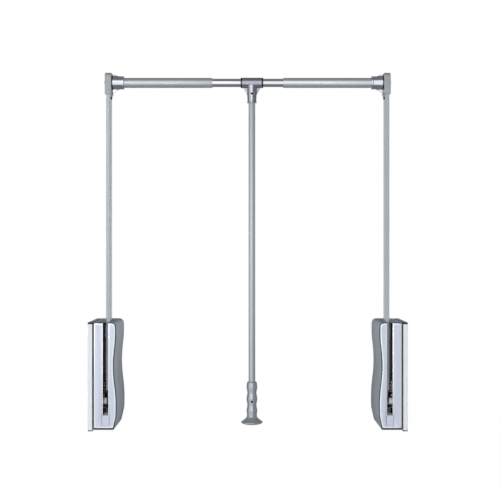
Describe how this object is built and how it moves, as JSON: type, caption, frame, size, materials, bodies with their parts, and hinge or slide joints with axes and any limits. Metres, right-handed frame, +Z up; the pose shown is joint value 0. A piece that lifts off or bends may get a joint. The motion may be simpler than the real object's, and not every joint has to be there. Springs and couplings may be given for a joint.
{
  "type": "pull down closet rod",
  "caption": "Wall-mounted wardrobe lift: swinging arms in spring-and-damper housings carry a telescoping clothes rod with a hanging pull handle.",
  "frame": {"origin": "midway between the two wall faces and at mid depth of the housings, level with the foot of the wall bases", "axes": "+X from the left wall face to the right one, +Y from the front to the back, +Z up"},
  "size_m": [0.75, 0.13, 0.8507],
  "materials": {
    "base_plastic": "moulded, near white, fine texture",
    "cover_plastic": "moulded, silver grey, satin",
    "fascia_plastic": "moulded, pale silver with a cool tint",
    "bumper_rubber": "pale soft stop",
    "stop_rubber": "dark soft stop",
    "zinc_steel": "zinc plated sheet",
    "screw_steel": "zinc plated screws",
    "pin_steel": "turned steel",
    "white_nylon": "natural nylon",
    "dark_nylon": "black nylon",
    "damper_steel": "drawn steel",
    "spring_steel": "oiled spring wire",
    "rack_zinc": "die cast, grey",
    "rod_chrome": "polished rod",
    "arm_aluminium": "satin anodised",
    "foot_steel": "stamped steel",
    "rivet_steel": "flush rivets",
    "corner_chrome": "plated casting",
    "outer_tube_steel": "satin plated tube",
    "inner_tube_chrome": "bright plated tube",
    "tee_chrome": "dark bright plated casting",
    "dark_screw": "blackened screw",
    "handle_steel": "satin plated tube",
    "grip_plastic": "moulded, silver grey"
  },
  "bodies": {
    "left_housing": {"left_wall_base": "base_plastic", "left_cover": "cover_plastic", "left_front_fascia": "fascia_plastic", "left_bumper": "bumper_rubber", "left_stop_pad": "stop_rubber", "left_mechanism_frame": "zinc_steel", "left_frame_screws": "screw_steel", "left_pivot_pin": "pin_steel", "left_pivot_bushes": "white_nylon", "left_rack_guide": "dark_nylon", "left_damper_cylinder": "damper_steel", "left_spring": "spring_steel"},
    "left_rack_set": {"left_rack": "rack_zinc", "left_damper_rod": "rod_chrome"},
    "left_lift": {"left_arm": "arm_aluminium", "left_arm_foot": "foot_steel", "left_arm_rivets": "rivet_steel", "left_corner_connector": "corner_chrome", "left_corner_screws": "screw_steel", "left_rod_plug": "dark_nylon", "left_outer_tube": "outer_tube_steel", "left_tube_glide": "dark_nylon"},
    "right_housing": {"right_wall_base": "base_plastic", "right_cover": "cover_plastic", "right_front_fascia": "fascia_plastic", "right_bumper": "bumper_rubber", "right_stop_pad": "stop_rubber", "right_mechanism_frame": "zinc_steel", "right_frame_screws": "screw_steel", "right_pivot_pin": "pin_steel", "right_pivot_bushes": "white_nylon", "right_rack_guide": "dark_nylon", "right_damper_cylinder": "damper_steel", "right_spring": "spring_steel"},
    "right_rack_set": {"right_rack": "rack_zinc", "right_damper_rod": "rod_chrome"},
    "right_lift": {"right_arm": "arm_aluminium", "right_arm_foot": "foot_steel", "right_arm_rivets": "rivet_steel", "right_corner_connector": "corner_chrome", "right_corner_screws": "screw_steel", "right_rod_plug": "dark_nylon", "right_outer_tube": "outer_tube_steel", "right_tube_glide": "dark_nylon"},
    "centre_rod": {"inner_tube": "inner_tube_chrome"},
    "handle": {"tee_connector": "tee_chrome", "tee_bushes": "dark_nylon", "tee_screw": "dark_screw", "handle_tube": "handle_steel", "grip": "grip_plastic", "grip_screw": "dark_screw"}
  },
  "joints": [
    {"name": "width_adjust", "type": "slide", "parent": "left_housing", "child": "right_housing", "axis": [1, 0, 0], "range_m": [-0.09, 0.08]},
    {"name": "arm_swing", "type": "hinge", "parent": "left_housing", "child": "left_lift", "pos_m": [-0.333, -0.013, 0.063], "axis": [1, 0, 0], "range_deg": [0, 100], "stiffness_Nm_per_rad": 7.06, "springref_deg": -32.66},
    {"name": "rod_slide", "type": "slide", "parent": "left_lift", "child": "centre_rod", "axis": [1, 0, 0], "range_m": [-0.045, 0.04]},
    {"name": "handle_swing", "type": "hinge", "parent": "centre_rod", "child": "handle", "pos_m": [0.01, -0.013, 0.8267], "axis": [1, 0, 0], "range_deg": [-130, 20]},
    {"name": "right_arm_swing", "type": "hinge", "parent": "right_housing", "child": "right_lift", "pos_m": [0.333, -0.013, 0.063], "axis": [1, 0, 0], "range_deg": [0, 100]},
    {"name": "left_rack_slide", "type": "slide", "parent": "left_housing", "child": "left_rack_set", "axis": [0, 0, 1], "range_m": [0, 0.035], "deforming": ["left_spring"]},
    {"name": "right_rack_slide", "type": "slide", "parent": "right_housing", "child": "right_rack_set", "axis": [0, 0, 1], "range_m": [0, 0.035], "deforming": ["right_spring"]}
  ],
  "couplings": [
    {"joint": "rod_slide", "follows": "width_adjust", "ratio": 0.5},
    {"joint": "right_arm_swing", "follows": "arm_swing", "ratio": 1},
    {"joint": "left_rack_slide", "follows": "arm_swing", "m_per_rad": 0.02},
    {"joint": "right_rack_slide", "follows": "arm_swing", "m_per_rad": 0.02}
  ]
}
